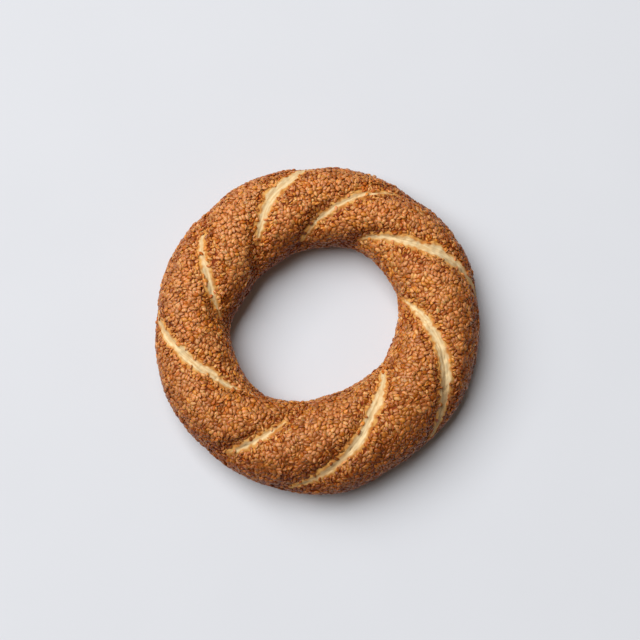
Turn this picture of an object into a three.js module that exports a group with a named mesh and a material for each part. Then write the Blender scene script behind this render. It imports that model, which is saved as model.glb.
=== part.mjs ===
// Simit: two strands of dough twisted into a rope, closed into a ring, rolled in sesame seed and baked.
//
// Millimetres, +Z up. The ring lies on its flat underside at z = 0, with the origin under its middle.
// The solid is the loaf out to the tops of its seeds, in one piece, with the valleys between its strands.
//
// Two angles place a point of the crust, both in degrees. The ring angle goes round the ring, from +X
// towards +Y. The section angle goes round the rope's section: 0 faces away from the hole, 90 faces up,
// 180 faces the hole and 270 faces the table.

import * as THREE from 'three';

// ---- driving dimensions ----

const NOMINAL_WIDTH = 40;          // width of the rope where it has its nominal height
const NOMINAL_HEIGHT = 31;         // table to crown there
const HEIGHT_PER_WIDTH = 0.125;    // a fatter stretch of rope is a little taller too
const CROWN_SHARE = 0.56;          // share of the height that lies above the rope's widest level
const UNDERSIDE_SHARE = 1.3;       // depth of the lower half before the table flattens it, against its room
const BASE_ROUNDING = 3;           // softening of the corner where the underside meets the table

const STRAND_SWELL = 1.2;          // rise of a strand's back above its edges
const SIDE_SWELL = 0.4;            // share of the swell that is left on the sides and underneath
const VALLEY_DEPTH = 1.9;          // depth of the valley between two strands, on the crown
const SIDE_VALLEY = 0.05;          // share of that depth on the sides and underneath, where the dough fuses
const VALLEY_HALF_WIDTH = 4.5;     // across the seam, to where the valley has mostly risen again

// The hand-rolled rope is uneven: its outer radius and the hole's radius, at ring angles round the ring.
const STATIONS = [
  { at: 0, outer: 78.5, hole: 38.5 },
  { at: 30, outer: 81.5, hole: 42.5 },
  { at: 60, outer: 81.0, hole: 44.0 },
  { at: 90, outer: 81.0, hole: 41.0 },
  { at: 120, outer: 80.5, hole: 38.5 },
  { at: 150, outer: 79.5, hole: 38.0 },
  { at: 180, outer: 78.5, hole: 42.0 },
  { at: 210, outer: 79.5, hole: 42.0 },
  { at: 240, outer: 79.5, hole: 40.0 },
  { at: 275, outer: 80.5, hole: 33.5 },
  { at: 300, outer: 76.5, hole: 33.0 },
  { at: 330, outer: 77.5, hole: 35.0 },
];

// Four full twists bring a seam between the strands over the top eight times. Each crossing is given by
// the ring angles at which it passes the rope's outer shoulder, its crown and its hole shoulder.
const OUTER_SHOULDER = 30;         // section angles of those three places
const CROWN = 90;
const HOLE_SHOULDER = 150;
const SEAMS = [
  { outer: -35.9, crown: -8.5, hole: 14.3 },
  { outer: 18.7, crown: 37.5, hole: 63 },
  { outer: 57.9, crown: 77, hole: 97.6 },
  { outer: 96.7, crown: 115.4, hole: 133.3 },
  { outer: 136.9, crown: 154.7, hole: 176.3 },
  { outer: 181, crown: 199.8, hole: 224.7 },
  { outer: 234.5, crown: 245.9, hole: 260.6 },
  { outer: 266.3, crown: 295.1, hole: 324.3 },
];

// ---- fineness of the facets ----

const STEPS_AROUND = 156;
// Lines of facets across one strand, as shares of its width: close together in the valleys beside it.
const STRAND_LINES = [0, 0.05, 0.1, 0.16, 0.24, 0.34, 0.45, 0.55, 0.66, 0.76, 0.84, 0.9, 0.95];

const CRUST_COLOUR = '#b3743f';
const CRUST_ROUGHNESS = 0.62;

const radians = THREE.MathUtils.degToRad;
const FULL = 360;

// ---- curves through the dimensions ----

/** A smooth curve through knots [{at, value}] in rising order, which never overshoots a knot. */
function smoothCurve(knots) {
  const rise = (i) => (knots[i + 1].value - knots[i].value) / (knots[i + 1].at - knots[i].at);
  const slopes = knots.map((knot, i) => {
    const before = rise(Math.max(i - 1, 0));
    const after = rise(Math.min(i, knots.length - 2));
    return before * after > 0 ? (2 * before * after) / (before + after) : 0;
  });
  return (at) => {
    const next = knots.findIndex((knot, i) => i > 0 && (at < knot.at || i === knots.length - 1));
    const from = knots[next - 1];
    const to = knots[next];
    const gap = to.at - from.at;
    const t = (at - from.at) / gap;
    const ease = t * t * (3 - 2 * t);
    const leave = t * (1 - t) * (1 - t) * gap * slopes[next - 1];
    const arrive = t * t * (1 - t) * gap * slopes[next];
    return from.value + (to.value - from.value) * ease + leave - arrive;
  };
}

/** One dimension of the stations as a closed curve of the ring angle. */
function aroundTheRing(dimension) {
  const knots = [-FULL, 0, FULL].flatMap((turn) =>
    STATIONS.map((station) => ({ at: station.at + turn, value: station[dimension] })));
  return smoothCurve(knots);
}

/** Every other seam crossing joined into one line: its section angle, unwound, against the ring angle. */
function seamLine(first) {
  const knots = [];
  for (let revolution = -1; revolution <= 2; revolution++) {
    for (let n = first; n < SEAMS.length; n += 2) {
      const around = FULL * revolution;
      const twist = FULL * (Math.ceil(n / 2) + (revolution * SEAMS.length) / 2);
      knots.push({ at: SEAMS[n].outer + around, value: OUTER_SHOULDER + twist });
      knots.push({ at: SEAMS[n].crown + around, value: CROWN + twist });
      knots.push({ at: SEAMS[n].hole + around, value: HOLE_SHOULDER + twist });
    }
  }
  return smoothCurve(knots);
}

const outerRadius = aroundTheRing('outer');
const holeRadius = aroundTheRing('hole');
const seamLines = [seamLine(0), seamLine(1)];

// ---- the crust ----

/** Distance in mm from a point of the crust to a seam line, square across the slanting seam. */
function distanceToSeam(line, ringAngle, sectionAngle, ringRadius, ropeRadius) {
  const step = 0.25;
  const twistRate = (line(ringAngle + step) - line(ringAngle - step)) / (2 * step);
  const turns = (sectionAngle - line(ringAngle)) / FULL;
  const round = (turns - Math.round(turns)) * FULL;
  const slant = ringRadius / Math.hypot(ringRadius, ropeRadius * twistRate);
  return Math.abs(radians(round)) * ropeRadius * slant;
}

/** Height above the table of a point at height z on the undisturbed underside. */
function restOnTable(z) {
  if (z >= BASE_ROUNDING) return z;
  if (z <= -BASE_ROUNDING) return 0;
  return (z + BASE_ROUNDING) ** 2 / (4 * BASE_ROUNDING);
}

/**
 * A point of the crust. The section is half an ellipse above the rope's widest level and half a deeper one
 * below it, moved along its normal: out over each strand's back, in along each seam.
 * acrossStrand is the point's place between the two seams beside it, from 0 to 1.
 */
function crustPoint(ringAngle, sectionAngle, acrossStrand) {
  const halfWidth = (outerRadius(ringAngle) - holeRadius(ringAngle)) / 2;
  const ringRadius = (outerRadius(ringAngle) + holeRadius(ringAngle)) / 2;
  const height = NOMINAL_HEIGHT + HEIGHT_PER_WIDTH * (2 * halfWidth - NOMINAL_WIDTH);
  const level = (1 - CROWN_SHARE) * height;
  const ropeRadius = Math.sqrt(halfWidth * CROWN_SHARE * height);

  const out = Math.cos(radians(sectionAngle));
  const up = Math.sin(radians(sectionAngle));
  const halfHeight = up > 0 ? CROWN_SHARE * height : UNDERSIDE_SHARE * level;
  const upward = Math.max(up, 0);

  const swell = STRAND_SWELL * (SIDE_SWELL + (1 - SIDE_SWELL) * upward);
  const depth = VALLEY_DEPTH * (SIDE_VALLEY + (1 - SIDE_VALLEY) * upward ** 0.8);
  let offset = swell * (Math.sin(Math.PI * acrossStrand) ** 0.75 - 0.75);
  for (const line of seamLines) {
    const distance = distanceToSeam(line, ringAngle, sectionAngle, ringRadius, ropeRadius);
    offset -= depth * Math.exp(-((distance / VALLEY_HALF_WIDTH) ** 2));
  }

  const normal = new THREE.Vector2(out / halfWidth, up / halfHeight).normalize();
  const radius = ringRadius + halfWidth * out + offset * normal.x;
  const z = restOnTable(level + halfHeight * up + offset * normal.y);
  const angle = radians(ringAngle);
  return new THREE.Vector3(radius * Math.cos(angle), radius * Math.sin(angle), z);
}

/** One section of the loaf at a ring angle: a closed loop of points, denser beside the two seams. */
function sectionLoop(ringAngle) {
  const first = seamLines[0](ringAngle);
  const second = seamLines[1](ringAngle);
  const strands = [[first, second], [second, first + FULL]];
  return strands.flatMap(([start, end]) =>
    STRAND_LINES.map((across) => crustPoint(ringAngle, start + (end - start) * across, across)));
}

/**
 * Triangles, as point numbers, that join two neighbouring loops of as many points each. It starts at the
 * closest pair and walks round both loops, at each step along the one that gives the shorter new edge.
 */
function stitch(points, hereStart, nextStart, count) {
  const here = (k) => hereStart + (k % count);
  const next = (k) => nextStart + (k % count);
  const gap = (a, b) => points[a].distanceToSquared(points[b]);
  let closest = 0;
  for (let k = 1; k < count; k++) {
    if (gap(here(0), next(k)) < gap(here(0), next(closest))) closest = k;
  }
  const triangles = [];
  let a = 0;
  let b = 0;
  while (a < count || b < count) {
    const k = closest + b;
    const alongHere = b === count || (a < count && gap(here(a + 1), next(k)) <= gap(here(a), next(k + 1)));
    triangles.push(here(a), next(k), alongHere ? here(a + 1) : next(k + 1));
    a += alongHere ? 1 : 0;
    b += alongHere ? 0 : 1;
  }
  return triangles;
}

/** The loaf's closed surface: section loops all the way round, each stitched to the next one. */
function twistedRing() {
  const count = 2 * STRAND_LINES.length;
  const angles = Array.from({ length: STEPS_AROUND }, (_, i) => (FULL * i) / STEPS_AROUND);
  const points = angles.flatMap(sectionLoop);
  const triangles = angles.flatMap((_, i) =>
    stitch(points, i * count, ((i + 1) % STEPS_AROUND) * count, count));
  const geometry = new THREE.BufferGeometry().setFromPoints(points);
  geometry.setIndex(triangles);
  return geometry;
}

/** Moves a shape sideways until the origin is under the middle of its outline. */
function centreOverOrigin(geometry) {
  geometry.computeBoundingBox();
  const middle = geometry.boundingBox.getCenter(new THREE.Vector3());
  return geometry.translate(-middle.x, -middle.y, 0);
}

function breadRing() {
  const geometry = centreOverOrigin(twistedRing());
  geometry.computeVertexNormals();
  const crust = new THREE.MeshStandardMaterial({
    color: CRUST_COLOUR,
    roughness: CRUST_ROUGHNESS,
    metalness: 0,
  });
  const mesh = new THREE.Mesh(geometry, crust);
  mesh.name = 'bread_ring';
  return mesh;
}

const simit = new THREE.Group();
simit.add(breadRing());

export default simit;
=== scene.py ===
"""Simit: a ring of two twisted strands of dough with a coat of toasted sesame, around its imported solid.

Lengths are millimetres and angles degrees, until they are handed to Blender. Only a seed's heading is
kept in radians.

Two angles place a point of the crust. The ring angle goes round the ring, from +X towards +Y. The
section angle goes round the rope's section: 0 faces away from the hole, 90 up, 180 the hole, 270 down.
"""

import bpy
import numpy as np
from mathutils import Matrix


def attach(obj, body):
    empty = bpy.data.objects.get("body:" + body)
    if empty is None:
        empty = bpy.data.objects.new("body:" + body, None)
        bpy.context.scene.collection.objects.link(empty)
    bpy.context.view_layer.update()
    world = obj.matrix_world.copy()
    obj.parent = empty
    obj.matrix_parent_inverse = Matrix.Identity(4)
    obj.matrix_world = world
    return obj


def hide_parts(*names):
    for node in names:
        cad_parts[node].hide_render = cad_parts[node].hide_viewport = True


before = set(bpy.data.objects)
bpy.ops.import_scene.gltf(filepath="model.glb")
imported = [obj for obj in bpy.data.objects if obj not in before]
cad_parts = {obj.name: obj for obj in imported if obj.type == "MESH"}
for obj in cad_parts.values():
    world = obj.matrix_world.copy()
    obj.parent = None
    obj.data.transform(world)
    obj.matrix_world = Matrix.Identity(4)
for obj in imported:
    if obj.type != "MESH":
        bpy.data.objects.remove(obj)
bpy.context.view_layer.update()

MM = 0.001
FULL = 360.0
RING_RADIUS = 80          # out to the loaf's sides, about
SEED_OF_CHANCE = 20260

# ---- the rope: the same dimensions as the CAD solid ----

NOMINAL_WIDTH = 40        # width of the rope where it has its nominal height
NOMINAL_HEIGHT = 31       # table to crown there
HEIGHT_PER_WIDTH = 0.125  # a fatter stretch of rope is a little taller too
CROWN_SHARE = 0.56        # share of the height that lies above the rope's widest level
UNDERSIDE_SHARE = 1.3     # depth of the lower half before the table flattens it, against its room
BASE_ROUNDING = 3         # softening of the corner where the underside meets the table

STRAND_SWELL = 1.2        # rise of a strand's back above its edges
SWELL_POWER = 0.75        # of the sine that shapes the back: the lower, the flatter on top
SWELL_LEVEL = 0.75        # share of that rise that lies inside the rope's plain section
SIDE_SWELL = 0.4          # share of the swell that is left on the sides and underneath
VALLEY_DEPTH = 1.9        # depth of the valley between two strands, on the crown
SIDE_VALLEY = 0.05        # share of that depth on the sides and underneath, where the dough fuses
VALLEY_FADE = 0.8         # power by which the depth grows from there to the crown
VALLEY_HALF_WIDTH = 4.5   # across the seam, to where the valley has mostly risen again

# Ring angle, outer radius, radius of the hole.
STATIONS = [
    (0, 78.5, 38.5),
    (30, 81.5, 42.5),
    (60, 81.0, 44.0),
    (90, 81.0, 41.0),
    (120, 80.5, 38.5),
    (150, 79.5, 38.0),
    (180, 78.5, 42.0),
    (210, 79.5, 42.0),
    (240, 79.5, 40.0),
    (275, 80.5, 33.5),
    (300, 76.5, 33.0),
    (330, 77.5, 35.0),
]

# Ring angles at which each crossing of a seam passes these three section angles.
SHOULDERS = (30, 90, 150)
CROSSINGS = [
    (-35.9, -8.5, 14.3),
    (18.7, 37.5, 63),
    (57.9, 77, 97.6),
    (96.7, 115.4, 133.3),
    (136.9, 154.7, 176.3),
    (181, 199.8, 224.7),
    (234.5, 245.9, 260.6),
    (266.3, 295.1, 324.3),
]

# ---- the bare bands, where a seam tore open after the seed was on ----

# For each crossing the section angles at which the band ends away from the hole, is widest, and ends
# towards the hole, and its greatest width.
BARE_BANDS = [
    (-14, 58, 172, 5.4),
    (-28, 66, 160, 5.0),
    (30, 104, 162, 3.1),
    (-18, 60, 127, 5.5),
    (38, 88, 152, 3.6),
    (-26, 82, 152, 4.8),
    (28, 76, 122, 3.2),
    (6, 102, 170, 4.8),
]
BAND_POWER = 0.9          # of the curve that a band's edge is: the lower, the blunter its tips
PAST_TIP = 3              # a point past a tip counts as at least this far outside the band
EDGE_WAVES = (11, 2.8)    # wavelengths of the long and short waves in a band's edges
LONG_WAVE = 0.12          # height of the long ones, as a share of the band's half-width
SHORT_WAVE = 0.24         # and of the short ones
WAVES_FROM = (0.2, 1.2)   # half-widths of the band between which its edges start to wave
EDGES_APART = 40.0        # from a seam to where its edges' waves are read, so that the two differ
CROSSINGS_APART = 30      # between the patterns of one crossing and the next

RELIEF_FROM = (-0.3, 0.5)   # depths inside a band's edge between which its own relief sets in
FIBRE_WAVE = 1.3          # strings that the dough was drawn out into
FIBRE_HEIGHT = 0.04
FIBRE_STRETCH = (0.2, 1, 1)     # they are five times as long, along the seam, as they are wide
WRINKLE_WAVE = 1.8
WRINKLE_HEIGHT = 0.07
PIT_WAVE = 2.6            # pits that burst bubbles left
PIT_STRETCH = (0.7, 1.3, 1)
PIT_RARITY = (1.2, 2.0)   # values of a random field with variance 1 between which a pit sets in
PIT_DEPTH = 0.5
PIT_HALF_WIDTH = 1.1      # of the strip along the seam's middle that has them

# ---- the skin under the seed ----

STEPS_AROUND = 800
LINES_BESIDE_SEAM = 16    # lines of its grid on either side of a seam
LINE_SPACING = 0.25       # between those
LINES_ON_STRAND = 27      # and lines on the rest of each strand
COAT_DEPTH = 0.52         # from the tops of the seeds down to the crust that they stick to
LOOSE_DEPTH = 0.55        # more of it beside the seams, where seeds stand on edge
BARE_DEPTH = 0.42         # the same for the bare dough of a seam, which the oven lifts
COAT_END = (-1.4, 0.3)    # depths inside a band's edge between which the coat gives way to bare dough
SKIN_CLEARANCE = 0.3      # above the table, as the loaf rests on its seeds
LUMPS = ((9, 0.07), (3.8, 0.1))     # wavelength and height of the dough's own unevenness
EDGE_LIMITS = (-9, 4)     # depths inside a band's edge that the crust's finish tells apart

# ---- how dark the crust is drawn, from about 0, lightly, to 1, heavily, and past that: toasting, more on its sides, and painted shade on the side away from the softbox ----

SHADED_SIDE = np.array([0.45, -0.89, -0.1])    # towards the side that faces away from the softbox, darkened as painted shade
CROWN_BROWN = 0.3         # on the crown
SHOULDER_BROWN = 0.22     # more, once the crust leans over on the shoulders
SHOULDER_LEAN = (0.02, 0.28)    # from where to where it does, as 1 less the upward part of its normal
SIDE_BROWN = 0.1          # more on the sides
OUTWARD_BROWN = 0.28      # more where it faces away from the hole
INWARD_PALE = 0.12        # less where it faces the hole
NEAR_SHADE = 0.24         # more at the ring's end towards that side, and less at the other: painted shade
FACING_SHADE = 1.15       # more where it faces that side: painted shade
FACING_POWER = 1.8        # which the crust has to do squarely, the more so the higher this is

# ---- the seed ----

SEED_COUNT = 10700        # strewn first, before gaps are filled and bare bands cleared
SEED_LENGTH = (2.9, 3.7)
SEED_SLIMNESS = (0.56, 0.69)    # breadth against length
SEED_FLATNESS = (0.46, 0.6)     # thickness against breadth
SEED_UNEVENNESS = 0.05    # of each point's distance from the long axis
SEED_RINGS = (0.17, 0.38, 0.6, 0.82)    # places of its rings of points, from its blunt end to its tip
SEED_SIDES = 8
SEED_POINT = 0.7          # the higher, the sharper the tip
SEED_SQUARENESS = 2.2     # of its cross-section: 2 is an ellipse, and more is flatter on top

SEED_SINK = 0.4           # how deep a seed that lies flat is stuck in the skin
EDGE_SINK = 0.45          # how much deeper one on edge is, as a share of how much taller it stands
SEED_LIFT = 0.11          # spread of how high it was left by its neighbours
HIGHEST = 32.8            # above the table, to which a seed that stands out further is pressed down
SEED_CLEARANCE = 0.02     # above the table
BASE_NORMAL = -0.7        # below this upward part of its normal the crust is the loaf's base,
BASE_TILT = 0.2           # where only this share of the seeds' tilts and lifts is left

# ---- how the seeds lie: nearly flat on the strands' backs, on edge in a jumble beside the seams ----

FLAT_TILT = (10, 14)      # spread of pitch and roll on the strands' backs
JUMBLED_TILT = (18, 52)   # and in the jumble
STEEPEST_ROLL = 80
SIDE_TILT = 0.4           # share of both that is left on the loaf's sides
TOP_FROM = (0.1, 0.8)     # sines of the section angle between which the sides turn into the top
JUMBLE_SHORTER = 0.16     # share by which seeds are shorter in the jumble
JUMBLE_CROWDING = 0.35    # share by which more of them fit there
JUMBLE_REACH = (4.5, 8.5)   # distances from a seam between which the jumble ends
JUMBLE_FROM = (-0.2, 0.3)   # sines of the section angle between which it starts
CLUMP_WAVE = 17           # clumps of jumbled seeds elsewhere: their size,
CLUMP_RARITY = (0.95, 1.6)  # and the values of a random field with variance 1 that make one

AREA_CELLS = (360, 120)   # cells by which the crust's area is shared out, along the ring and round it
SETTLE_STEPS = 60
SEARCH_STEPS = 4          # from one search for neighbours to the next
NEIGHBOUR_REACH = 3.4     # between the middles of neighbours
SEED_ELBOW_ROOM = 0.78    # share of its breadth that a seed keeps to itself, as seeds overlap
SEED_LEG_ROOM = 0.92      # and of its length
PUSH_SHARE = 0.5          # share of its push that a seed gives way to in a step,
TURN_SHARE = 0.45         # and of its twist
TURN_EASE = 0.25          # added to the square of a seed's arm, so that short ones don't spin
LARGEST_TURN = 0.3        # radians in one step
TOUCHING = 1e-9           # keeps the distance between two middles from being 0

GAP_TRIES = 18000         # places that are tried for a seed to fill
GAP_REACH = 0.9           # at least, from a place in a gap to any seed's middle or end
FILLER_LIFT = (-0.12, 0.06)     # mean and spread
SHED_DEPTH = (-0.28, 0.42)  # depth inside a band's edge from which a seed fell off: mean and spread
SECOND_LAYER = 0.07       # share of the seeds on top that another one lies on
SECOND_FROM = 0.3         # sine of the section angle above which that is so
SECOND_SHIFT = (1.1, 2.8)   # spread of ring and section angle from the seed under it
SECOND_TILT = (14, 18)    # spread of pitch and roll
SECOND_LIFT = (0.3, 0.6)

# ---- how the seeds are toasted, on the scale of the crust's browning, with its painted shade ----

TOAST_PATCHES = ((9, 0.04), (4, 0.13))      # wavelength and height
SEED_TO_SEED = 0.09       # spread from each seed to the next
JUMBLE_TO_SEED = 0.07     # and more of it in the jumble
JUMBLE_TOAST = 0.12       # more toasting in the jumble
EDGE_TOAST = 0.25         # less of it beside a bare band
EDGE_FROM = (-3, 0)       # depths inside the band's edge between which that sets in

# Syrup, from 0 to 1, which gathered in the jumble. It also lays a painted sheen: it is kept low on the crown
# where it faces up and at the end towards the softbox, so that the pinkish kinds there stand in for the
# reflected sheen, and high on the sides and at the far end.
CROWN_SYRUP = 0.12
JUMBLE_SYRUP = 0.75
# more on the sides, which keeps the painted sheen to the crown
SIDE_SHEEN_LOSS = 0.85
SHEEN_LEAN = (0.95, 0.6)  # upward parts of the normal between which the crown turns into the sides
SYRUP_PATCHES = ((7, 0.2),)     # wavelength and height
AWAY_FROM_SOFTBOX = np.array([0.8, -0.6, 0])       # towards the side that faces away from the softbox
SHEEN_DRIFT = 0.26        # more of it at that end of the ring, and less at the other, so the painted sheen lies towards the softbox

# Kinds of seed: their share of the seeds where there is no syrup, where the pinkish tan and russet lay the
# painted sheen, and where there is most, their colours where lightly and heavily toasted, the darker one
# also standing for painted shade, and at the tip, and their gloss, which the darkest toasting dulls.
SEED_KINDS = {
    "pale": {"share": (0.03, 0.18), "colours": ("#e6a862", "#a4601e", "#94541a"), "gloss": 0.45},
    "golden": {"share": (0.08, 0.31), "colours": ("#df923a", "#965010", "#864810"), "gloss": 0.45},
    "tan": {"share": (0.46, 0.14), "colours": ("#de9656", "#905218", "#7c4018"), "gloss": 0.45},
    "russet": {"share": (0.38, 0.13), "colours": ("#d68846", "#8a4814", "#6c3410"), "gloss": 0.42},
    "brown": {"share": (0.05, 0.24), "colours": ("#c46c1a", "#76380c", "#5a280c"), "gloss": 0.3},
}

# ---- the finishes: sizes of what their patterns show ----

DOUGH_FIBRE = 0.9         # breadth of a string of drawn-out dough
DOUGH_FIBRE_STRETCH = (0.14, 1, 1)      # seven times as long, along the seam
DOUGH_MOTTLE = 2.4        # of freckles where syrup soaked in
DOUGH_PATCH = 9           # of dull, dry places
DOUGH_GRAIN = 0.5         # of pores, drawn coarser than they are, to show at all
HULL_CLOUD = 1.4          # of cloudy toasting on a seed
HULL_GRAIN = 0.35         # of the hull's ridges, drawn coarser too
BOARD_PATCH = 60          # of a roller's faint unevenness
DOUGH_BUMP = 0.15         # depth of the pores and fibres, and of the ridges
HULL_BUMP = 0.1
HULL_SCATTER = 0.9        # distance that red light spreads in a seed

# ---- the studio ----

TABLE_HALF = 4000
SOFTBOX_PLACE = (-2840, 1850, 5380)
SOFTBOX_TARGET = (0, 0, 20)
SOFTBOX_SIZE = 6400
SOFTBOX_WATTS = 642
ROOM_STRENGTH = 0.1
CAMERA_TARGET = (1.254, 3.958, 14)
CAMERA_ELEVATION = 78
CAMERA_DISTANCE = 800
CAMERA_LENS = 92.78
CAMERA_SENSOR = 36


# ---- curves and fields ----


def smooth_curve(at, value):
    """A cubic through knots. Its slope at a knot is the harmonic mean of the rises on either side, or 0
    where the rise changes sign, so the curve never overshoots a knot."""
    at = np.asarray(at, float)
    value = np.asarray(value, float)
    rise = np.diff(value) / np.diff(at)
    before = np.concatenate([rise[:1], rise])
    after = np.concatenate([rise, rise[-1:]])
    turning = before * after <= 0
    slope = np.where(turning, 0, 2 * before * after / np.where(turning, 1, before + after))

    def curve(x):
        i = np.clip(np.searchsorted(at, x, side="right") - 1, 0, len(at) - 2)
        gap = at[i + 1] - at[i]
        t = (x - at[i]) / gap
        ease = t * t * (3 - 2 * t)
        leave = t * (1 - t) ** 2 * gap * slope[i]
        arrive = t * t * (1 - t) * gap * slope[i + 1]
        return value[i] + (value[i + 1] - value[i]) * ease + leave - arrive

    return curve


def around_the_ring(column):
    """One column of the stations as a closed curve of the ring angle."""
    at = [station[0] + turn for turn in (-FULL, 0, FULL) for station in STATIONS]
    return smooth_curve(at, [station[column] for station in STATIONS] * 3)


def seam_line(first):
    """Every other crossing joined into one line: the section angle, unwound, against the ring angle."""
    at, value = [], []
    for revolution in range(-1, 3):
        for n in range(first, len(CROSSINGS), 2):
            turns = (n + 1) // 2 + revolution * len(CROSSINGS) // 2
            at += [ring + FULL * revolution for ring in CROSSINGS[n]]
            value += [shoulder + FULL * turns for shoulder in SHOULDERS]
    return smooth_curve(at, value)


outer_radius = around_the_ring(1)
hole_radius = around_the_ring(2)
SEAM_LINES = (seam_line(0), seam_line(1))


def random_field(rng, wavelength, waves=24):
    """A smooth random field of points, with mean 0 and variance 1: the sum of plane waves of 0.7 to 1.4
    times the given wavelength, in random directions and with random phases."""
    direction = rng.normal(size=(waves, 3))
    direction /= np.linalg.norm(direction, axis=1, keepdims=True)
    direction *= 2 * np.pi / (wavelength * rng.uniform(0.7, 1.4, (waves, 1)))
    phase = rng.uniform(0, 2 * np.pi, waves)
    return lambda points: np.cos(points @ direction.T + phase).sum(-1) * np.sqrt(2 / waves)


def random_relief(rng, layers):
    """The sum of several random fields, each given by its wavelength and its height."""
    fields = [(height, random_field(rng, wavelength)) for wavelength, height in layers]
    return lambda points: sum(height * field(points) for height, field in fields)


def smooth_step(x, start, end):
    """0 up to start, 1 from end on, and between them 3 t squared less 2 t cubed, with t the share of the
    way. Where end is the lower of the two, it counts downwards."""
    t = np.clip((x - start) / (end - start), 0, 1)
    return t * t * (3 - 2 * t)


def unit(vectors):
    """Vectors divided by their lengths."""
    return vectors / np.linalg.norm(vectors, axis=-1, keepdims=True)


def wrapped(angle):
    """An angle brought between -180 and 180."""
    return (angle + FULL / 2) % FULL - FULL / 2


def sine(angle):
    """The sine of an angle in degrees."""
    return np.sin(np.radians(angle))


def cosine(angle):
    """The cosine of an angle in degrees."""
    return np.cos(np.radians(angle))


# ---- the crust's surface ----


def rope_at(ring):
    """Half the rope's width, the radius of its middle line, its height, which grows in line with its
    width, and the radius of a round rope with as large a crown: the root of half-width times crown."""
    half_width = (outer_radius(ring) - hole_radius(ring)) / 2
    ring_radius = (outer_radius(ring) + hole_radius(ring)) / 2
    height = NOMINAL_HEIGHT + HEIGHT_PER_WIDTH * (2 * half_width - NOMINAL_WIDTH)
    return half_width, ring_radius, height, np.sqrt(half_width * CROWN_SHARE * height)


def slope_of(line, ring, ring_radius, rope_radius):
    """How steeply a seam climbs round the rope: mm round the section for each mm along the ring."""
    step = 0.25
    return (line(ring + step) - line(ring - step)) / (2 * step) * rope_radius / ring_radius


def crust(ring, section):
    """Points of the loaf's outside, over the tops of its seeds. The section is half an ellipse above the
    rope's widest level and half a deeper one below it, moved along its normal: out over each strand's
    back by a power of a sine, in along each seam by a bell curve of the distance to it. The table
    flattens what would lie under it, with a parabola at the corner."""
    half_width, ring_radius, height, rope_radius = rope_at(ring)
    level = (1 - CROWN_SHARE) * height
    out = cosine(section)
    up = sine(section)
    half_height = np.where(up > 0, CROWN_SHARE * height, UNDERSIDE_SHARE * level)
    upward = np.clip(up, 0, 1)

    first, second = (line(ring) for line in SEAM_LINES)
    span = second - first
    past = (section - first) % FULL
    across = np.where(past < span, past / span, (past - span) / (FULL - span))
    swell = STRAND_SWELL * (SIDE_SWELL + (1 - SIDE_SWELL) * upward)
    depth = VALLEY_DEPTH * (SIDE_VALLEY + (1 - SIDE_VALLEY) * upward**VALLEY_FADE)
    offset = swell * (np.sin(np.pi * across) ** SWELL_POWER - SWELL_LEVEL)
    for line, here in zip(SEAM_LINES, (first, second)):
        slant = np.hypot(1, slope_of(line, ring, ring_radius, rope_radius))
        distance = np.radians(wrapped(section - here)) * rope_radius / slant
        offset = offset - depth * np.exp(-((distance / VALLEY_HALF_WIDTH) ** 2))

    steep = np.hypot(out / half_width, up / half_height)
    radius = ring_radius + half_width * out + offset * out / half_width / steep
    z = level + half_height * up + offset * up / half_height / steep
    rounded = (np.clip(z, -BASE_ROUNDING, BASE_ROUNDING) + BASE_ROUNDING) ** 2 / (4 * BASE_ROUNDING)
    z = np.where(z > BASE_ROUNDING, z, rounded)
    return np.stack(np.broadcast_arrays(radius * cosine(ring), radius * sine(ring), z), -1)


def tangents(ring, section):
    """How far the crust's point moves for each degree of ring angle and of section angle, from its moves
    over a short step either way."""
    step = 0.2
    along = (crust(ring + step, section) - crust(ring - step, section)) / (2 * step)
    around = (crust(ring, section + step) - crust(ring, section - step)) / (2 * step)
    return along, around


def beside_seam(ring, section):
    """Each point's place beside its nearest seam, with the rope's surface rolled out flat: mm across it,
    mm along it, the number of its crossing, and its section angle, from 0 to 360, at the point's foot.
    Near a point the seam is taken as straight, so the way across it is the rise over it divided by the
    root of 1 and the slope squared. The way along it is the sum of many short steps."""
    _, ring_radius, _, rope_radius = rope_at(ring)
    step = 0.25
    table = np.arange(-FULL / 4, FULL * 5 / 4, step)
    _, table_ring, _, table_rope = rope_at(table)
    best = None
    for first, line in enumerate(SEAM_LINES):
        slope = slope_of(line, ring, ring_radius, rope_radius)
        rise = np.radians(wrapped(section - line(ring))) * rope_radius
        foot = ring + np.degrees(rise * slope / (1 + slope**2) / ring_radius)
        climb = slope_of(line, table, table_ring, table_rope)
        pace = np.radians(step) * table_ring * np.hypot(1, climb)
        turn = line(foot)
        crossing = (2 * np.floor(turn / FULL) - first) % len(CROSSINGS)
        across = rise / np.hypot(1, slope)
        along = np.interp(foot, table, np.cumsum(pace))
        found = np.stack(np.broadcast_arrays(across, along, crossing, turn % FULL))
        best = found if best is None else np.where(np.abs(found[0]) < np.abs(best[0]), found, best)
    return best


def bare_edge(across, along, crossing, turn, ragged):
    """How far inside a seam's bare band a point is, in mm, and negative outside it. The band is a lens:
    its half-width falls from the widest place to nothing at each end as a power of 1 less t squared, and
    its two edges wander by two random fields, a long one and a short one."""
    outer_end, widest, hole_end, width = np.array(BARE_BANDS).T[:, crossing.astype(int)]
    reach = np.where(turn > widest, hole_end - widest, widest - outer_end)
    t = np.abs(turn - widest) / reach
    half_width = width / 2 * np.clip(1 - t * t, 0, 1) ** BAND_POWER
    which_edge = np.where(across > 0, EDGES_APART, -EDGES_APART)
    place = np.stack([along, which_edge, CROSSINGS_APART * crossing], -1)
    long_field, short_field = ragged
    wander = half_width * LONG_WAVE * long_field(place) + SHORT_WAVE * short_field(place)
    return half_width + wander * smooth_step(half_width, *WAVES_FROM) - np.abs(across) - PAST_TIP * (t >= 1)


# ---- the crust as a mesh ----


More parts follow.
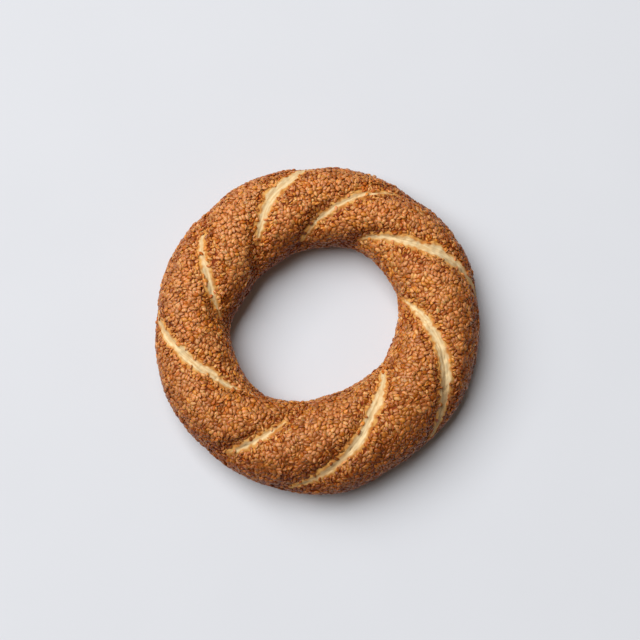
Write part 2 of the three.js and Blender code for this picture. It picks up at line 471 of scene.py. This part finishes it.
def grid_faces(rows, columns):
    """Quads of a grid that closes on itself both ways, as point numbers."""
    i, j = np.meshgrid(np.arange(rows), np.arange(columns), indexing="ij")
    following = (i + 1) % rows
    beside = (j + 1) % columns
    corners = (i * columns + j, following * columns + j, following * columns + beside, i * columns + beside)
    return np.stack(corners, -1).reshape(-1, 4)


def offset_angles(line, ring, distances):
    """Degrees of section angle that lie the given mm away from a seam, square across it: the distance
    times the root of 1 and the slope squared, over the rope's radius."""
    _, ring_radius, _, rope_radius = rope_at(ring)
    return np.degrees(distances * np.hypot(1, slope_of(line, ring, ring_radius, rope_radius)) / rope_radius)


def skin_angles():
    """Ring and section angles of the skin's grid, whose lines follow the seams all the way round: some at
    an even spacing on both sides of each seam, the rest spread over each strand between them."""
    ring = np.arange(STEPS_AROUND)[:, None] * FULL / STEPS_AROUND
    beside = np.arange(LINES_BESIDE_SEAM) * LINE_SPACING
    between = np.arange(1, LINES_ON_STRAND + 1) / (LINES_ON_STRAND + 1)
    sections = []
    lines = (*SEAM_LINES, lambda angle: SEAM_LINES[0](angle) + FULL)
    for line, next_line in zip(lines, lines[1:]):
        start = line(ring) + offset_angles(line, ring, beside)
        stop = next_line(ring) - offset_angles(next_line, ring, beside[:0:-1])
        inner = start[:, -1:] + (stop[:, :1] - start[:, -1:]) * between
        sections += [start, inner, stop]
    section = np.concatenate(sections, 1)
    return np.broadcast_to(ring, section.shape), section


def coat_depth(edge, jumble):
    """Depth of the skin under the tops of the seeds, in mm: more in the jumble, less where it is bare,
    with a smooth step between the two across a band's edge."""
    coated = COAT_DEPTH + LOOSE_DEPTH * jumble
    return coated + (BARE_DEPTH - coated) * smooth_step(edge, *COAT_END)


def skin_relief(rolled_out, edge, jumble, rng):
    """Height of the skin against the tops of the seeds: down by the coat's depth and, where it is bare,
    with fibres drawn out along the seam, fine wrinkles, and a few pits left by burst bubbles: random
    fields of the rolled-out surface, of which the pits are the highest places near the seam's middle."""
    fibres = FIBRE_HEIGHT * random_field(rng, FIBRE_WAVE)(rolled_out * FIBRE_STRETCH)
    wrinkles = WRINKLE_HEIGHT * random_field(rng, WRINKLE_WAVE)(rolled_out)
    burst = smooth_step(random_field(rng, PIT_WAVE)(rolled_out * PIT_STRETCH), *PIT_RARITY)
    pits = PIT_DEPTH * burst * np.exp(-((rolled_out[..., 1] / PIT_HALF_WIDTH) ** 2))
    return smooth_step(edge, *RELIEF_FROM) * (fibres + wrinkles - pits) - coat_depth(edge, jumble)


def write_mesh(name, points, faces, material, attributes):
    """A piece from points in mm and a list of face arrays, each of one number of corners. Attributes are
    one number, or one vector, for each point."""
    corners = np.concatenate([group.ravel() for group in faces]).astype(np.int32)
    sizes = np.concatenate([np.full(len(group), group.shape[1]) for group in faces])
    mesh = bpy.data.meshes.new(name)
    mesh.vertices.add(len(points))
    mesh.vertices.foreach_set("co", (points * MM).astype(np.float32).ravel())
    mesh.loops.add(len(corners))
    mesh.loops.foreach_set("vertex_index", corners)
    mesh.polygons.add(len(sizes))
    mesh.polygons.foreach_set("loop_start", (np.cumsum(sizes) - sizes).astype(np.int32))
    mesh.polygons.foreach_set("use_smooth", np.ones(len(sizes), bool))
    for key, values in attributes.items():
        kind, field = ("FLOAT", "value") if values.ndim == 1 else ("FLOAT_VECTOR", "vector")
        mesh.attributes.new(key, kind, "POINT").data.foreach_set(field, values.astype(np.float32).ravel())
    mesh.update(calc_edges=True)
    mesh.materials.append(material)
    piece = bpy.data.objects.new(name, mesh)
    bpy.context.scene.collection.objects.link(piece)
    return piece


# ---- browning and jumble, which the crust and its seeds share ----


def browning_and_shade(place, normal):
    """How dark the crust is drawn at a place where it faces along normal, as a sum of terms: least on the
    crown, more from its shoulders down, more again where it faces away from the hole than where it faces the
    hole, and, as painted shade, most on the parts nearest to the side away from the softbox and facing it."""
    sideways = 1 - np.clip(normal[..., 2], 0, 1)
    from_hole = unit(place * (1, 1, 0))
    outward = (normal * from_hole).sum(-1)
    away = np.where(outward > 0, OUTWARD_BROWN, INWARD_PALE) * outward
    # Painted shade: darker towards the side away from the softbox and where the crust faces it.
    nearness = place @ SHADED_SIDE / RING_RADIUS
    facing = np.clip(normal @ SHADED_SIDE, 0, 1)
    shoulders = SHOULDER_BROWN * smooth_step(sideways, *SHOULDER_LEAN) + SIDE_BROWN * sideways
    return CROWN_BROWN + NEAR_SHADE * nearness + shoulders + away + FACING_SHADE * facing**FACING_POWER


clumps = random_field(np.random.default_rng(SEED_OF_CHANCE + 1), CLUMP_WAVE)


def jumbled(ring, section):
    """1 on top beside the seams and in a few clumps, where seeds stand in a jumble, falling to 0 away
    from them and below, by smooth steps of the distance, the clumps' field and the height."""
    across = np.abs(beside_seam(ring, section)[0])
    beside = 1 - smooth_step(across, *JUMBLE_REACH)
    clumped = smooth_step(clumps(crust(ring, section)), *CLUMP_RARITY)
    return np.maximum(beside, clumped) * smooth_step(sine(section), *JUMBLE_FROM)


# ---- how the seeds lie ----

# Rows of the table of seeds, which has a column for each seed.
RING, SECTION, HEADING, LENGTH, BREADTH, THICKNESS, PITCH, ROLL, LIFT = range(9)


def close_pairs(points, reach):
    """Each pair of points nearer than reach, once. The points are sorted into cubes of that size, and
    each cube is matched with itself and with half of the 26 cubes round it."""
    cube = np.floor(points / reach).astype(np.int64)
    cube -= cube.min(0) - 1
    wide = cube.max(0) + 2
    key = (cube[:, 0] * wide[1] + cube[:, 1]) * wide[2] + cube[:, 2]
    order = np.argsort(key, kind="stable")
    key = key[order]
    steps = [(x, y, z) for x in (0, 1) for y in (-1, 0, 1) for z in (-1, 0, 1) if (x, y, z) >= (0, 0, 0)]
    pairs = []
    for x, y, z in steps:
        wanted = key + (x * wide[1] + y) * wide[2] + z
        start = np.searchsorted(key, wanted, "left")
        end = np.searchsorted(key, wanted, "right")
        if (x, y, z) == (0, 0, 0):
            start = np.arange(len(key)) + 1
        count = np.maximum(end - start, 0)
        one = np.repeat(np.arange(len(key)), count)
        other = np.arange(count.sum()) - np.repeat(np.cumsum(count) - count, count) + np.repeat(start, count)
        pairs.append(np.stack([order[one], order[other]]))
    one, other = np.concatenate(pairs, 1)
    near = ((points[one] - points[other]) ** 2).sum(1) < reach**2
    return one[near], other[near]


def scatter(rng, count):
    """Ring and section angles of points spread over the crust's area: the area is added up cell by cell,
    round the section and then on along the ring, and each point takes the next equal share of it. Area
    where seeds stand on edge counts for more, as more of them fit there."""
    rows, columns = AREA_CELLS
    ring = (np.arange(rows)[:, None] + 0.5) * FULL / rows
    section = (np.arange(columns)[None, :] + 0.5) * FULL / columns
    along, around = tangents(ring, section)
    area = np.linalg.norm(np.cross(along, around), axis=-1)
    area = (area * (1 + JUMBLE_CROWDING * jumbled(ring, section))).ravel()
    shares = (np.arange(count) + rng.random(count)) / count
    cell = np.searchsorted(np.cumsum(area) / area.sum(), shares)
    ring = (cell // columns + rng.random(count)) * FULL / rows
    section = (cell % columns + rng.random(count)) * FULL / columns
    return ring, section


def seed_axes(ring, section, heading):
    """Unit vectors along each seed, across it, and out of the crust, and the crust's tangents there. The
    seed's axis turns by its heading, in radians, from along the ring to round the rope."""
    along, around = tangents(ring, section)
    normal = unit(np.cross(along, around))
    east = unit(along)
    north = np.cross(normal, east)
    turn = heading[:, None]
    axis = np.cos(turn) * east + np.sin(turn) * north
    return axis, np.cross(normal, axis), normal, along, around


def shoves(place, axis, side, arm, radius, one, other):
    """How far the pairs of seeds one and other push each seed, in mm, and how hard they turn it. A seed
    is two discs, an arm's length either way along it. Two that overlap move apart by half of the overlap
    each, and turn their seeds by that times the arm."""
    count = len(place)
    push = np.zeros((count, 3))
    twist = np.zeros(count)
    for a in (-1, 1):
        for b in (-1, 1):
            hand = a * arm[one, None] * axis[one]
            gap = place[one] + hand - place[other] - b * arm[other, None] * axis[other]
            far = np.linalg.norm(gap, axis=1) + TOUCHING
            overlap = np.maximum(radius[one] + radius[other] - far, 0)
            shove = gap * (overlap / far / 2)[:, None]
            for column in range(3):
                push[:, column] += np.bincount(one, shove[:, column], count)
                push[:, column] -= np.bincount(other, shove[:, column], count)
            lean_one = a * arm[one] * (side[one] * shove).sum(1)
            lean_other = b * arm[other] * (side[other] * shove).sum(1)
            twist += np.bincount(one, lean_one, count) - np.bincount(other, lean_other, count)
    return push, twist


def settle(ring, section, heading, length, breadth):
    """Seeds that were shaken over sticky dough push each other apart until they lie side by side. At each
    step a push is split into the crust's two tangents, and so into changes of the two angles."""
    radius = breadth / 2 * SEED_ELBOW_ROOM
    arm = length / 2 * SEED_LEG_ROOM - radius
    for step in range(SETTLE_STEPS):
        place = crust(ring, section)
        axis, side, _, along, around = seed_axes(ring, section, heading)
        if step % SEARCH_STEPS == 0:
            one, other = close_pairs(place, NEIGHBOUR_REACH)
        push, twist = shoves(place, axis, side, arm, radius, one, other)
        east = (along * along).sum(1)
        north = (around * around).sum(1)
        both = (along * around).sum(1)
        push_east = (push * along).sum(1)
        push_north = (push * around).sum(1)
        scale = PUSH_SHARE / (east * north - both**2)
        ring = ring + scale * (north * push_east - both * push_north)
        section = section + scale * (east * push_north - both * push_east)
        turn = TURN_SHARE * twist / (arm**2 + TURN_EASE)
        heading = heading + np.clip(turn, -LARGEST_TURN, LARGEST_TURN)
    return ring % FULL, section % FULL, heading


def strew(rng):
    """The table of the seeds that were shaken over the crust, settled side by side."""
    ring, section = scatter(rng, SEED_COUNT)
    jumble = jumbled(ring, section)
    length = rng.uniform(*SEED_LENGTH, SEED_COUNT) * (1 - JUMBLE_SHORTER * jumble)
    breadth = length * rng.uniform(*SEED_SLIMNESS, SEED_COUNT)
    thickness = breadth * rng.uniform(*SEED_FLATNESS, SEED_COUNT)
    pitch, roll = (
        rng.normal(size=SEED_COUNT) * (flat + (loose - flat) * jumble)
        for flat, loose in zip(FLAT_TILT, JUMBLED_TILT)
    )
    steady = SIDE_TILT + (1 - SIDE_TILT) * smooth_step(sine(section), *TOP_FROM)
    pitch = pitch * steady
    roll = np.clip(roll, -STEEPEST_ROLL, STEEPEST_ROLL) * steady
    heading = rng.uniform(0, 2 * np.pi, SEED_COUNT)
    seen_length = np.hypot(length * cosine(pitch), thickness * sine(pitch))
    seen_breadth = np.hypot(breadth * cosine(roll), thickness * sine(roll))
    ring, section, heading = settle(ring, section, heading, seen_length, seen_breadth)
    lift = rng.normal(0, SEED_LIFT, SEED_COUNT) * steady
    return np.stack([ring, section, heading, length, breadth, thickness, pitch, roll, lift])


def gaps(rng, ring, section, heading, length, breadth):
    """Ring and section angles of places that no seed covers: of points tried all over the crust, those
    that lie no nearer than a set reach to a seed's middle, to either of its ends or to an earlier try."""
    place = crust(ring, section)
    axis = seed_axes(ring, section, heading)[0]
    arm = ((length - breadth) / 2)[:, None] * axis
    taken = np.concatenate([place, place + arm, place - arm])
    free_ring, free_section = scatter(rng, GAP_TRIES)
    points = np.concatenate([crust(free_ring, free_section), taken])
    one, other = close_pairs(points, GAP_REACH)
    first, second = np.minimum(one, other), np.maximum(one, other)
    free = np.ones(GAP_TRIES, bool)
    free[first[(first < GAP_TRIES) & (second >= GAP_TRIES)]] = False
    free[second[second < GAP_TRIES]] = False
    return free_ring[free], free_section[free]


def fillers(rng, seeds):
    """Seeds like those already there, one in each gap between them, pressed in a little deeper."""
    ring, section = gaps(rng, *seeds[: BREADTH + 1])
    count = len(ring)
    filler = seeds[:, rng.integers(0, seeds.shape[1], count)]
    filler[RING] = ring
    filler[SECTION] = section
    filler[LIFT] = rng.normal(*FILLER_LIFT, count)
    return filler


def second_layer(rng, seeds):
    """Seeds that lie loose on top of others, each a little aside from the one under it, at any heading."""
    on_top = sine(seeds[SECTION]) > SECOND_FROM
    upper = seeds[:, on_top & (rng.random(seeds.shape[1]) < SECOND_LAYER)]
    count = upper.shape[1]
    upper[RING] += rng.normal(0, SECOND_SHIFT[0], count)
    upper[SECTION] += rng.normal(0, SECOND_SHIFT[1], count)
    upper[HEADING] = rng.uniform(0, 2 * np.pi, count)
    upper[PITCH] = rng.normal(0, SECOND_TILT[0], count)
    upper[ROLL] = rng.normal(0, SECOND_TILT[1], count)
    upper[LIFT] = rng.uniform(*SECOND_LIFT, count)
    return upper


def lay_seeds(rng, ragged):
    """The table of all the seeds: those that were strewn and those that fill their gaps, less those that
    fell off the bare bands, and the second layer."""
    seeds = strew(rng)
    seeds = np.concatenate([seeds, fillers(rng, seeds)], 1)
    edge = bare_edge(*beside_seam(seeds[RING], seeds[SECTION]), ragged)
    seeds = seeds[:, edge < rng.normal(*SHED_DEPTH, seeds.shape[1])]
    seeds = np.concatenate([seeds, second_layer(rng, seeds)], 1)
    seeds[[RING, SECTION]] %= FULL
    return seeds


# ---- the seeds as meshes ----


def seed_shape():
    """One seed as points (along its axis from -1 to 1, across, up) and faces. It is a flattened drop: at
    t from 0 to pi along it, its axis stands at -cos t and its half-breadth is sin t times a power of
    cos t/2, which draws the far end to a tip. Its cross-section is a superellipse, with flat faces above
    and below: the cosine and sine of even angles, both to the power of 2 over the squareness."""
    t = np.pi * np.array(SEED_RINGS)
    girth = np.sin(t) * np.cos(t / 2) ** SEED_POINT
    girth /= girth.max()
    angle = 2 * np.pi * (np.arange(SEED_SIDES) + 0.5) / SEED_SIDES
    loop = np.stack([np.cos(angle), np.sin(angle)])
    loop = np.sign(loop) * np.abs(loop) ** (2 / SEED_SQUARENESS)
    across, up = (np.outer(girth, half).ravel() for half in loop)
    rings = np.stack([np.repeat(-np.cos(t), SEED_SIDES), across, up], -1)
    points = np.concatenate([rings, [(-1, 0, 0), (1, 0, 0)]])

    one = np.arange(SEED_SIDES)
    beside = (one + 1) % SEED_SIDES
    start = np.arange(len(t) - 1)[:, None] * SEED_SIDES
    following = start + SEED_SIDES
    quads = np.stack([following + one, following + beside, start + beside, start + one], -1).reshape(-1, 4)
    blunt_end = np.stack([one, beside, np.full(SEED_SIDES, len(rings))], -1)
    last = (len(t) - 1) * SEED_SIDES
    tip = np.stack([last + beside, last + one, np.full(SEED_SIDES, len(rings) + 1)], -1)
    return points, [quads, blunt_end, tip]


def stand_seeds(rng, laid, shape, skin_depth, lumps, middle):
    """Every seed's points in its place on the crust, its centre, and the crust's normal there. Its axes
    are turned by its pitch and then its roll. Its centre stands over the skin by half its height and its
    lift, less what it sinks in."""
    ring, section, heading, length, breadth, thickness, pitch, roll, lift = laid
    axis, side, normal, _, _ = seed_axes(ring, section, heading)
    on_base = np.where(normal[:, 2] < BASE_NORMAL, BASE_TILT, 1)
    pitch, roll = np.radians(pitch * on_base)[:, None], np.radians(roll * on_base)[:, None]
    lengthways = np.cos(pitch) * axis + np.sin(pitch) * normal
    up = np.cos(pitch) * normal - np.sin(pitch) * axis
    sideways = np.cos(roll) * side + np.sin(roll) * up
    up = np.cross(lengthways, sideways)

    half_height = np.hypot(thickness * np.cos(roll[:, 0]), breadth * np.sin(roll[:, 0])) / 2
    sink = SEED_SINK + EDGE_SINK * (half_height - thickness / 2)
    foot = crust(ring, section)
    rise = half_height - sink - skin_depth + lumps(foot) + lift * on_base
    centre = foot + normal * rise[:, None] - middle

    uneven = 1 + SEED_UNEVENNESS * rng.normal(size=(len(centre), len(shape)))
    points = centre[:, None] + (
        (shape[:, 0] * length[:, None] / 2)[..., None] * lengthways[:, None]
        + (shape[:, 1] * breadth[:, None] / 2 * uneven)[..., None] * sideways[:, None]
        + (shape[:, 2] * thickness[:, None] / 2 * uneven)[..., None] * up[:, None]
    )
    points[..., 2] -= np.maximum(points[..., 2].max(1) - HIGHEST, 0)[:, None]
    points[..., 2] = np.maximum(points[..., 2], SEED_CLEARANCE)
    return points, centre, normal


def toast_and_shade_seeds(rng, centre, normal, edge, jumble):
    """How far each seed is toasted, with painted shade, and the number of its kind. Toasting is the crust's
    browning with its painted shade, more in the jumble, less beside a bare band, and uneven. The kind is
    drawn by the kinds' shares, which change in line with the syrup that reached the seed. Where the syrup is
    kept low, on the crown facing up and towards the softbox, the pinkish kinds lay a painted sheen."""
    patches = random_relief(rng, TOAST_PATCHES)(centre)
    uneven = (SEED_TO_SEED + JUMBLE_TO_SEED * jumble) * rng.normal(size=len(centre))
    toast_and_shade = browning_and_shade(centre, normal) + patches + uneven
    toast_and_shade += JUMBLE_TOAST * jumble - EDGE_TOAST * smooth_step(edge, *EDGE_FROM)

    # Painted sheen: little syrup where the crown faces up and towards the softbox, so the pinkish kinds fall
    # there.
    syrup_and_sheen_loss = CROWN_SYRUP + JUMBLE_SYRUP * jumble + SIDE_SHEEN_LOSS * smooth_step(normal[:, 2], *SHEEN_LEAN)
    drift = SHEEN_DRIFT * (centre @ AWAY_FROM_SOFTBOX) / RING_RADIUS
    syrup_and_sheen_loss += random_relief(rng, SYRUP_PATCHES)(centre) + drift
    syrup_and_sheen_loss = np.clip(syrup_and_sheen_loss, 0, 1)[:, None]
    least, most = np.array([kind["share"] for kind in SEED_KINDS.values()]).T
    share = np.cumsum(least * (1 - syrup_and_sheen_loss) + most * syrup_and_sheen_loss, 1)
    return toast_and_shade, (rng.random((len(centre), 1)) > share[:, :-1]).sum(1)


# ---- materials ----


def linear(hex_colour):
    """An sRGB colour such as '#d9a05b' as linear red, green, blue and alpha 1."""
    srgb = np.array([int(hex_colour[i : i + 2], 16) for i in (1, 3, 5)]) / 255
    return (*np.where(srgb <= 0.04045, srgb / 12.92, ((srgb + 0.055) / 1.055) ** 2.4), 1)


def new_material(name):
    """A material with no nodes yet, and its node tree."""
    material = bpy.data.materials.new(name)
    material.use_nodes = True
    material.node_tree.nodes.clear()
    return material, material.node_tree


def add_node(tree, kind, sockets, **settings):
    """Adds a node with its settings. A socket given another node's output, or the node for its first one,
    is linked to it. Any other value is written into the socket, a hex colour as linear."""
    node = tree.nodes.new("ShaderNode" + kind)
    for key, value in settings.items():
        setattr(node, key, value)
    for key, value in sockets.items():
        if isinstance(value, bpy.types.Node):
            value = value.outputs[0]
        if isinstance(value, bpy.types.NodeSocket):
            tree.links.new(value, node.inputs[key])
        else:
            node.inputs[key].default_value = linear(value) if isinstance(value, str) else value
    return node


def turn_colour(tree, colour, other, value, start, end, most=1.0):
    """A colour that turns smoothly into another one while a value goes from start to end, and stops after
    the given share of the way."""
    limits = {"Value": value, "From Min": start, "From Max": end, "To Max": most}
    share = add_node(tree, "MapRange", limits, interpolation_type="SMOOTHSTEP")
    return add_node(tree, "Mix", {0: share, 6: colour, 7: other}, data_type="RGBA").outputs[2]


def dough_crust():
    """Wheat dough, stretched thin and baked: pale and dry where a seam tore open late, gold at its
    margins, and dark glazed brown under the seed, where syrup soaked in and caught the heat."""
    material, tree = new_material("baked_dough_crust")
    place = add_node(tree, "TexCoord", {}).outputs["Object"]
    edge = add_node(tree, "Attribute", {}, attribute_name="bare_edge").outputs["Fac"]
    seam = add_node(tree, "Attribute", {}, attribute_name="seam_place").outputs["Vector"]
    tone = add_node(tree, "Attribute", {}, attribute_name="toast_and_shade").outputs["Fac"]
    drawn = add_node(tree, "VectorMath", {0: seam, 1: DOUGH_FIBRE_STRETCH}, operation="MULTIPLY")
    fibres, mottle, patches, grain = (
        add_node(tree, "TexNoise", {"Vector": where, "Scale": 1 / (size * MM), **finer})
        for where, size, finer in (
            (drawn, DOUGH_FIBRE, {"Detail": 3}),
            (place, DOUGH_MOTTLE, {"Detail": 3}),
            (place, DOUGH_PATCH, {"Detail": 2}),
            (place, DOUGH_GRAIN, {"Detail": 3, "Roughness": 0.6}),
        )
    )

    # The bands' edges, frayed by the mottle.
    fraying = add_node(tree, "Math", {0: mottle, 1: -0.5}, operation="ADD")
    inside = add_node(tree, "Math", {0: fraying, 1: 1.6, 2: edge}, operation="MULTIPLY_ADD")

    pale = turn_colour(tree, "#d6b27e", "#ecd3a4", fibres, 0.35, 0.65)
    pale = turn_colour(tree, pale, "#c2b08a", patches, 0.45, 0.7, most=0.4)
    # The toasting attribute darkens the bare dough, and the painted shade of the side away from the softbox
    # comes with it.
    pale = turn_colour(tree, pale, "#b08c60", tone, 0.35, 1.1, most=0.7)
    gold = turn_colour(tree, "#c27c36", "#dba458", mottle, 0.35, 0.65)
    under_seed = turn_colour(tree, "#8a481a", "#a45c24", mottle, 0.3, 0.7)
    under_seed = turn_colour(tree, under_seed, "#7c3006", edge, -8.5, -5.0)
    colour = turn_colour(tree, under_seed, gold, inside, -1.9, -0.5)
    colour = turn_colour(tree, colour, pale, inside, -0.2, 1.3)

    dryness = {"Value": inside, "From Min": -0.4, "From Max": 0.6, "To Min": 0.7, "To Max": 0.78}
    height = add_node(tree, "Math", {0: fibres, 1: 0.6, 2: grain}, operation="MULTIPLY_ADD")
    shader = add_node(tree, "BsdfPrincipled", {
        "Base Color": colour,
        "Roughness": add_node(tree, "MapRange", dryness, interpolation_type="SMOOTHSTEP"),
        "Specular IOR Level": 0.16,
        "Normal": add_node(tree, "Bump", {"Strength": 0.4, "Distance": DOUGH_BUMP * MM, "Height": height}),
    })
    add_node(tree, "OutputMaterial", {"Surface": shader})
    return material


def sesame_hull(name, colours, gloss):
    """Sesame toasted in its hull: satin, thinly glazed with syrup, every seed a little lighter or darker,
    cloudy with toasting, darker with the painted shade that its toasting carries, and brown at its pointed
    tip. Light that spreads inside gives it its glow."""
    light, dark, tip_colour = colours
    material, tree = new_material("toasted_sesame_hull_" + name)
    place = add_node(tree, "TexCoord", {}).outputs["Object"]
    tone = add_node(tree, "Attribute", {}, attribute_name="toast_and_shade").outputs["Fac"]
    tip = add_node(tree, "Attribute", {}, attribute_name="tip").outputs["Fac"]
    cloud = add_node(tree, "TexNoise", {"Vector": place, "Scale": 1 / (HULL_CLOUD * MM)})
    grain = add_node(tree, "TexNoise", {"Vector": place, "Scale": 1 / (HULL_GRAIN * MM)})
    # The toasting attribute carries painted shade of the side away from the softbox as well as toasting.
    shade = add_node(tree, "Math", {0: cloud, 1: 0.5, 2: tone}, operation="MULTIPLY_ADD")
    colour = turn_colour(tree, light, dark, shade, 0.1, 1.5)
    colour = turn_colour(tree, colour, tip_colour, tip, 0.62, 1.0, most=0.55)

    sheen = {"Value": grain, "From Min": 0.3, "From Max": 0.7, "To Min": 0.35, "To Max": 0.45}
    shader = add_node(tree, "BsdfPrincipled", {
        "Base Color": colour,
        "Roughness": add_node(tree, "MapRange", sheen, interpolation_type="SMOOTHSTEP"),
        "Specular IOR Level": gloss,
        "Normal": add_node(tree, "Bump", {"Strength": 0.35, "Distance": HULL_BUMP * MM, "Height": grain}),
        "Subsurface Weight": 0.5,
        "Subsurface Radius": (1.0, 0.36, 0.12),
        "Subsurface Scale": HULL_SCATTER * MM,
    })
    add_node(tree, "OutputMaterial", {"Surface": shader})
    return material


def painted_board():
    """Smooth board, matt painted a cool white, with the faint unevenness of a roller."""
    material, tree = new_material("matt_painted_board")
    place = add_node(tree, "TexCoord", {}).outputs["Object"]
    unevenness = add_node(tree, "TexNoise", {"Vector": place, "Scale": 1 / (BOARD_PATCH * MM)})
    colour = add_node(tree, "Mix", {0: unevenness, 6: "#d3d6dc", 7: "#d6d9df"}, data_type="RGBA")
    shader = add_node(tree, "BsdfPrincipled", {"Base Color": colour.outputs[2], "Roughness": 0.7})
    add_node(tree, "OutputMaterial", {"Surface": shader})
    return material


# ---- building ----


def build_crust(rng, ragged, lumps, middle):
    """The crust: the outside, let down by the coat of seeds, with its relief."""
    ring, section = skin_angles()
    points = crust(ring, section)
    along, around = tangents(ring, section)
    normal = unit(np.cross(along, around))
    across, down_seam, crossing, turn = beside_seam(ring, section)
    edge = bare_edge(across, down_seam, crossing, turn, ragged)
    rolled_out = np.stack([down_seam, across, CROSSINGS_APART * crossing], -1)
    relief = lumps(points) + skin_relief(rolled_out, edge, jumbled(ring, section), rng)
    skin = points + normal * relief[..., None] - middle
    skin[..., 2] = np.maximum(skin[..., 2], SKIN_CLEARANCE)
    attributes = {
        "bare_edge": np.clip(edge, *EDGE_LIMITS).ravel(),
        "seam_place": (rolled_out * MM).reshape(-1, 3),
        # Toasting, with painted shade on the side away from the softbox.
        "toast_and_shade": browning_and_shade(points, normal).ravel(),
    }
    faces = [grid_faces(*ring.shape)]
    return write_mesh("crust", skin.reshape(-1, 3), faces, dough_crust(), attributes)


def build_seeds(rng, ragged, lumps, middle):
    """The seeds, one piece for each kind."""
    laid = lay_seeds(rng, ragged)
    edge = bare_edge(*beside_seam(laid[RING], laid[SECTION]), ragged)
    jumble = jumbled(laid[RING], laid[SECTION])
    shape, faces = seed_shape()
    points, centre, normal = stand_seeds(rng, laid, shape, coat_depth(edge, jumble), lumps, middle)
    toast_and_shade, kind_number = toast_and_shade_seeds(rng, centre, normal, edge, jumble)
    for number, (name, kind) in enumerate(SEED_KINDS.items()):
        mine = kind_number == number
        total = mine.sum()
        first = (np.arange(total) * len(shape))[:, None, None]
        groups = [(group[None] + first).reshape(-1, group.shape[1]) for group in faces]
        attributes = {
            "toast_and_shade": np.repeat(toast_and_shade[mine], len(shape)),
            "tip": np.tile((shape[:, 0] + 1) / 2, total),
        }
        hull = sesame_hull(name, kind["colours"], kind["gloss"])
        seeds = write_mesh("seeds_" + name, points[mine].reshape(-1, 3), groups, hull, attributes)
        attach(seeds, "root")


def build():
    """The loaf, with the middle of its outline over the origin."""
    rng = np.random.default_rng(SEED_OF_CHANCE)
    ragged = [random_field(rng, wavelength) for wavelength in EDGE_WAVES]
    lumps = random_relief(rng, LUMPS)
    ring = np.arange(0, FULL, 0.25)[:, None]
    section = np.arange(0, FULL, 2)[None, :]
    outline = crust(ring, section)
    middle = (outline.min((0, 1)) + outline.max((0, 1))) / 2 * (1, 1, 0)
    skin = build_crust(rng, ragged, lumps, middle)
    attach(skin, "root")
    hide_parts("bread_ring")
    build_seeds(rng, ragged, lumps, middle)


def add_table():
    """A table top, wide enough to be all that is seen."""
    corners = np.array([(-1, -1, 0), (1, -1, 0), (1, 1, 0), (-1, 1, 0)]) * TABLE_HALF
    table = write_mesh("table_top", corners, [np.array([[0, 1, 2, 3]])], painted_board(), {})


def add_lights():
    """A square softbox that faces its target, in a room that is dim and a little warm."""
    light = bpy.data.lights.new("softbox", "AREA")
    light.size = SOFTBOX_SIZE * MM
    light.energy = SOFTBOX_WATTS
    lamp = bpy.data.objects.new("softbox", light)
    lamp.location = np.array(SOFTBOX_PLACE) * MM
    east, north, up = np.subtract(SOFTBOX_TARGET, SOFTBOX_PLACE)
    lamp.rotation_euler = (np.arctan2(np.hypot(east, north), -up), 0, np.arctan2(north, east) - np.pi / 2)
    bpy.context.scene.collection.objects.link(lamp)

    world = bpy.data.worlds.new("dim_warm_room")
    world.use_nodes = True
    background = world.node_tree.nodes["Background"]
    background.inputs["Color"].default_value = linear("#ffecd8")
    background.inputs["Strength"].default_value = ROOM_STRENGTH
    bpy.context.scene.world = world
    bpy.context.scene.view_settings.view_transform = "Standard"


def add_camera():
    """A camera in front of its target and raised by its elevation, looking at it."""
    elevation = np.radians(CAMERA_ELEVATION)
    backwards = np.array([0, -np.cos(elevation), np.sin(elevation)])
    camera = bpy.data.cameras.new("camera")
    camera.lens = CAMERA_LENS
    camera.sensor_width = CAMERA_SENSOR
    holder = bpy.data.objects.new("camera", camera)
    holder.location = np.array(CAMERA_TARGET) * MM + CAMERA_DISTANCE * MM * backwards
    holder.rotation_euler = (np.pi / 2 - elevation, 0, 0)
    bpy.context.scene.collection.objects.link(holder)
    bpy.context.scene.camera = holder


build()
add_table()
add_lights()
add_camera()
